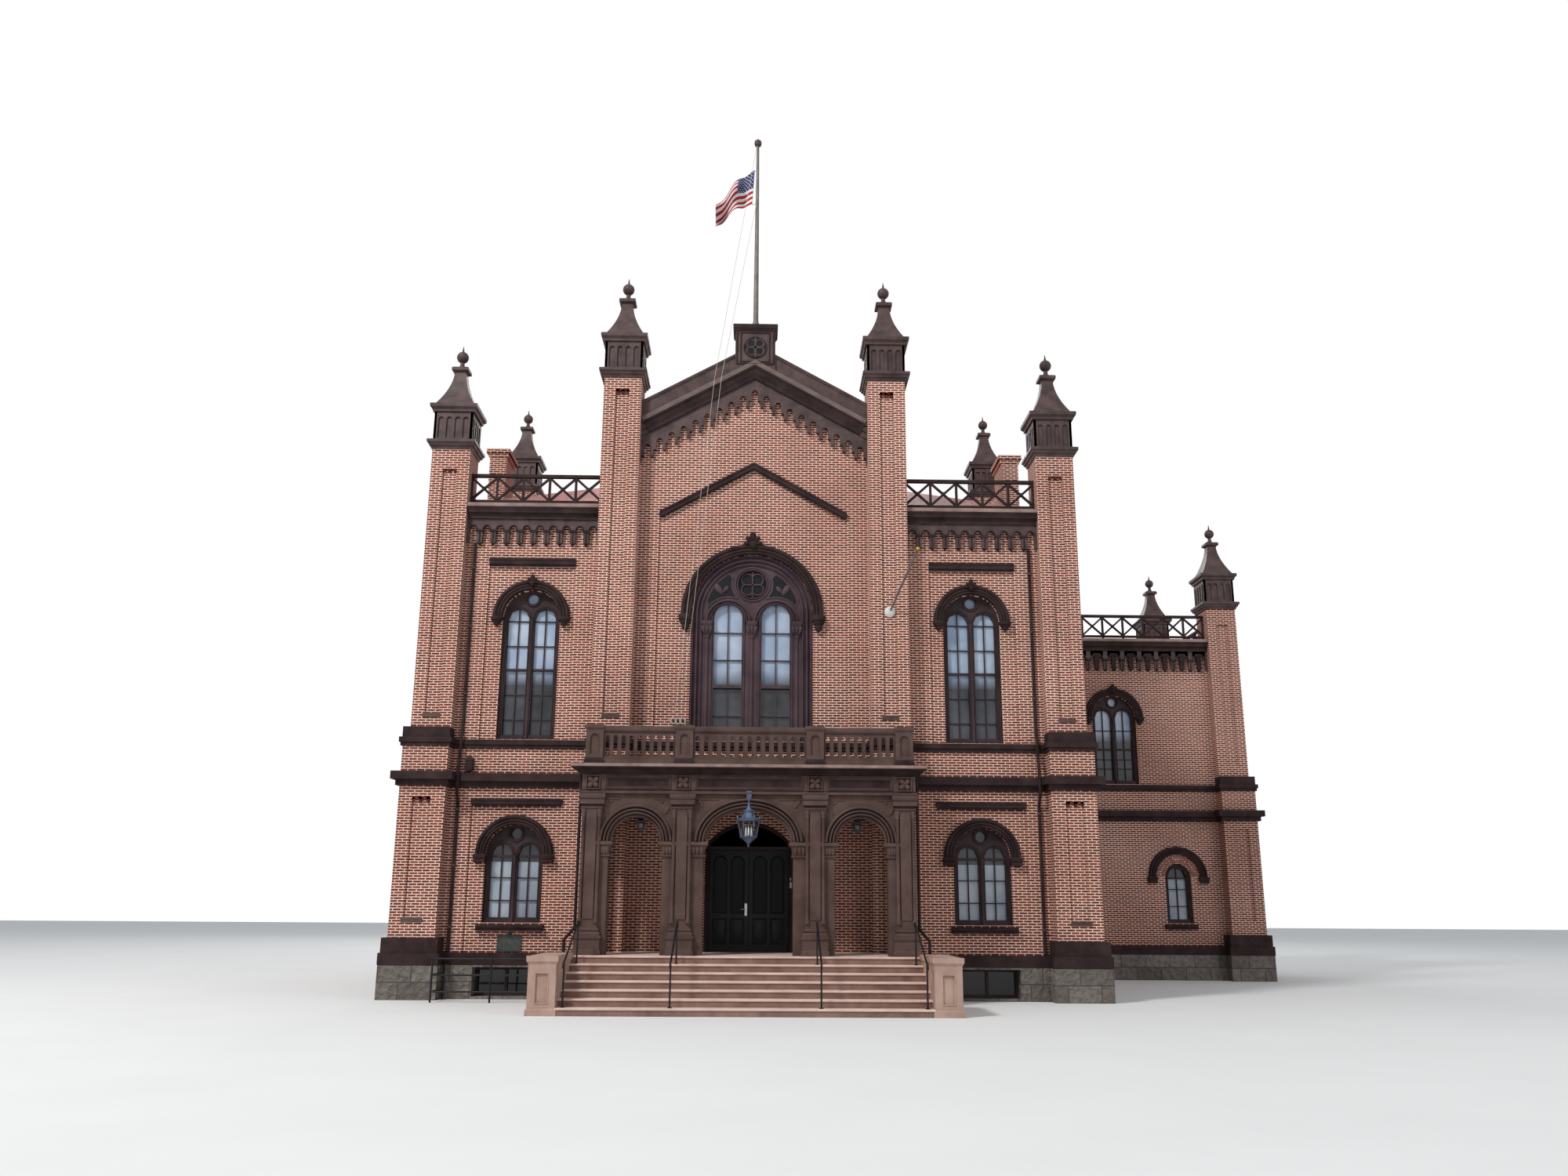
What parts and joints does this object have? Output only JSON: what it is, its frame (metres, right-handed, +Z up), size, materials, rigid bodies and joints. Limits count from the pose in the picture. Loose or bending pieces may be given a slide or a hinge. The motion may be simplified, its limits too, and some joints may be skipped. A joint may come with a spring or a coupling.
{
  "type": "town hall building",
  "caption": "Two-storey brick town hall with a gabled centre, square turrets with spires, a brownstone portico on steps, a side wing and a pair of hinged entrance doors.",
  "frame": {"origin": "ground level on the centre line of the front, in the plane of the brick front wall", "axes": "+X to the right seen from the street, +Y from the front wall into the building, +Z up"},
  "size_m": [26.42, 25.11, 24.31],
  "materials": {
    "brick": "rough",
    "brownstone": "matte",
    "rough_stone": "rough",
    "step_stone": "rough",
    "dark_metal": "satin",
    "roof_metal": "satin",
    "window_timber": "painted",
    "door_timber": "painted",
    "floor_timber": "matte",
    "window_glass": "gloss",
    "iron": "satin",
    "pole_paint": "satin"
  },
  "bodies": {
    "building": {"front_wall_left": "brick", "front_wall_right": "brick", "left_wall": "brick", "right_wall": "brick", "rear_wall": "brick", "wing_walls": "brick", "entrance_wall_left": "brick", "entrance_wall_right": "brick", "centre_wall": "brick", "gable_wall": "brick", "stone_base_front": "rough_stone", "stone_base_back": "rough_stone", "turret_footings": "rough_stone", "ground_floor": "floor_timber", "upper_floor": "floor_timber", "front_corner_turrets": "brick", "tall_turrets": "brick", "side_turrets": "brick", "rear_turrets": "brick", "wing_turrets": "brick", "front_corner_spires": "dark_metal", "tall_spires": "dark_metal", "side_spires": "dark_metal", "rear_spires": "dark_metal", "wing_spires": "dark_metal", "water_table": "brownstone", "lower_belt_course": "brownstone", "sill_belt_course": "brownstone", "roof_cornices": "dark_metal", "gable_cornice": "dark_metal", "label_mouldings": "brownstone", "window_hoods": "brownstone", "gable_apex_block": "dark_metal", "flagpole": "pole_paint", "front_railings": "dark_metal", "back_railings": "dark_metal", "wing_railings": "dark_metal", "main_roof": "roof_metal", "wing_roof": "roof_metal", "chimneys": "brick", "upper_window_frames": "window_timber", "lower_window_frames": "window_timber", "central_window_frame": "window_timber", "window_glass": "window_glass", "portico_arcade": "brownstone", "portico_ends": "brownstone", "portico_pilasters": "brownstone", "portico_arch_mouldings": "brownstone", "portico_frieze": "brownstone", "portico_roof": "brownstone", "portico_parapet": "brownstone", "portico_floor": "step_stone", "front_steps": "step_stone", "step_cheeks": "step_stone", "handrails": "iron", "lantern": "iron", "door_frame": "door_timber", "downspouts": "brownstone"},
    "door_left": {"door_leaf_left": "door_timber"},
    "door_right": {"door_leaf_right": "door_timber"}
  },
  "joints": [
    {"name": "left_door_hinge", "type": "hinge", "parent": "building", "child": "door_left", "pos_m": [-1.017, 0.229, 1.15], "axis": [0, 0, 1], "range_deg": [0, 90]},
    {"name": "right_door_hinge", "type": "hinge", "parent": "building", "child": "door_right", "pos_m": [1.017, 0.229, 1.15], "axis": [0, 0, -1], "range_deg": [0, 90]}
  ]
}
